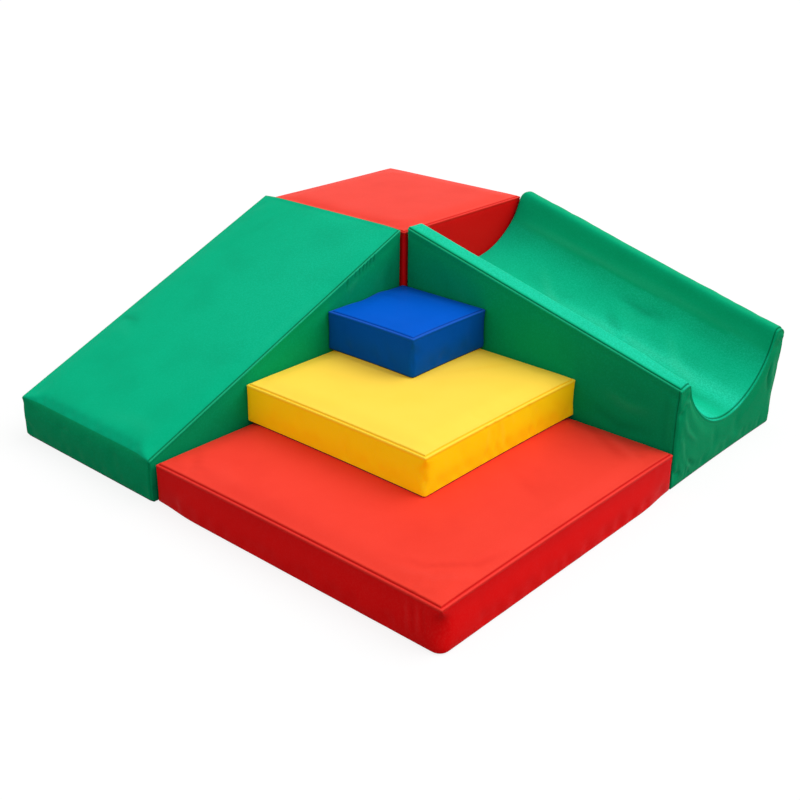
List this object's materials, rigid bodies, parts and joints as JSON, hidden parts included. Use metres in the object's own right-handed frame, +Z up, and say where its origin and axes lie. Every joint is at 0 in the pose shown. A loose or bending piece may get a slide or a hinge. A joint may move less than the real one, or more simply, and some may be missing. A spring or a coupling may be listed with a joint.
{
  "type": "soft play corner climber",
  "caption": "Padded corner climber: a square platform with a wedge ramp on one side, a half-round slide on the other and stacked steps in the corner between.",
  "frame": {"origin": "on the floor, under the middle of the outline of the whole climber", "axes": "+Z up; the corner block stands at -X, +Y; the ramp runs down from it towards -Y and the slide towards +X; the steps fill the +X, -Y corner"},
  "size_m": [1.4899, 1.491, 0.5134],
  "materials": {
    "red_vinyl": "satin",
    "green_vinyl": "satin",
    "yellow_vinyl": "satin",
    "blue_vinyl": "satin",
    "foam": "matte",
    "base_cloth": "matte",
    "hook_tape": "matte",
    "loop_tape": "matte",
    "zip_tape": "matte",
    "zip_metal": "satin"
  },
  "bodies": {
    "corner_block": {"corner_foam_core": "foam", "corner_cover": "red_vinyl", "corner_base_panel": "base_cloth", "corner_zipper": "zip_tape", "corner_loop_strip_for_ramp": "loop_tape", "corner_loop_strip_for_slide": "loop_tape"},
    "corner_slider": {"corner_zip_slider": "zip_metal"},
    "ramp": {"ramp_foam_core": "foam", "ramp_cover": "green_vinyl", "ramp_base_panel": "base_cloth", "ramp_zipper": "zip_tape", "ramp_hook_strip_for_corner": "hook_tape", "ramp_loop_strip_for_step": "loop_tape"},
    "ramp_slider": {"ramp_zip_slider": "zip_metal"},
    "slide": {"slide_foam_core": "foam", "slide_cover": "green_vinyl", "slide_base_panel": "base_cloth", "slide_zipper": "zip_tape", "slide_hook_strip_for_corner": "hook_tape", "slide_loop_strip_for_step": "loop_tape"},
    "slide_slider": {"slide_zip_slider": "zip_metal"},
    "low_step": {"low_step_foam_core": "foam", "low_step_cover": "red_vinyl", "low_step_base_panel": "base_cloth", "low_step_zipper": "zip_tape", "low_step_hook_strip_for_ramp": "hook_tape", "low_step_hook_strip_for_slide": "hook_tape"},
    "low_step_slider": {"low_step_zip_slider": "zip_metal"},
    "middle_step": {"middle_step_foam_core": "foam", "middle_step_cover": "yellow_vinyl", "middle_step_base_panel": "base_cloth", "middle_step_zipper": "zip_tape"},
    "middle_step_slider": {"middle_step_zip_slider": "zip_metal"},
    "top_step": {"top_step_foam_core": "foam", "top_step_cover": "blue_vinyl", "top_step_base_panel": "base_cloth", "top_step_zipper": "zip_tape"},
    "top_step_slider": {"top_step_zip_slider": "zip_metal"}
  },
  "joints": [
    {"name": "ramp_pull_away", "type": "slide", "parent": "corner_block", "child": "ramp", "axis": [-0.7071, -0.7071, 0], "range_m": [0, 0.5]},
    {"name": "slide_pull_away", "type": "slide", "parent": "corner_block", "child": "slide", "axis": [0.7071, 0.7071, 0], "range_m": [0, 0.5]},
    {"name": "low_step_pull_away", "type": "slide", "parent": "corner_block", "child": "low_step", "axis": [0.7071, -0.7071, 0], "range_m": [0, 0.5]},
    {"name": "middle_step_lift", "type": "slide", "parent": "low_step", "child": "middle_step", "axis": [0, 0, 1], "range_m": [0, 0.45]},
    {"name": "top_step_lift", "type": "slide", "parent": "middle_step", "child": "top_step", "axis": [0, 0, 1], "range_m": [0, 0.3]},
    {"name": "corner_zip_run", "type": "slide", "parent": "corner_block", "child": "corner_slider", "axis": [-1, 0, 0], "range_m": [0, 0.346]},
    {"name": "ramp_zip_run", "type": "slide", "parent": "ramp", "child": "ramp_slider", "axis": [-1, 0, 0], "range_m": [0, 0.356]},
    {"name": "slide_zip_run", "type": "slide", "parent": "slide", "child": "slide_slider", "axis": [0, -1, 0], "range_m": [0, 0.341]},
    {"name": "low_step_zip_run", "type": "slide", "parent": "low_step", "child": "low_step_slider", "axis": [-1, 0, 0], "range_m": [0, 0.7]},
    {"name": "middle_step_zip_run", "type": "slide", "parent": "middle_step", "child": "middle_step_slider", "axis": [-1, 0, 0], "range_m": [0, 0.398]},
    {"name": "top_step_zip_run", "type": "slide", "parent": "top_step", "child": "top_step_slider", "axis": [-1, 0, 0], "range_m": [0, 0.095]}
  ]
}
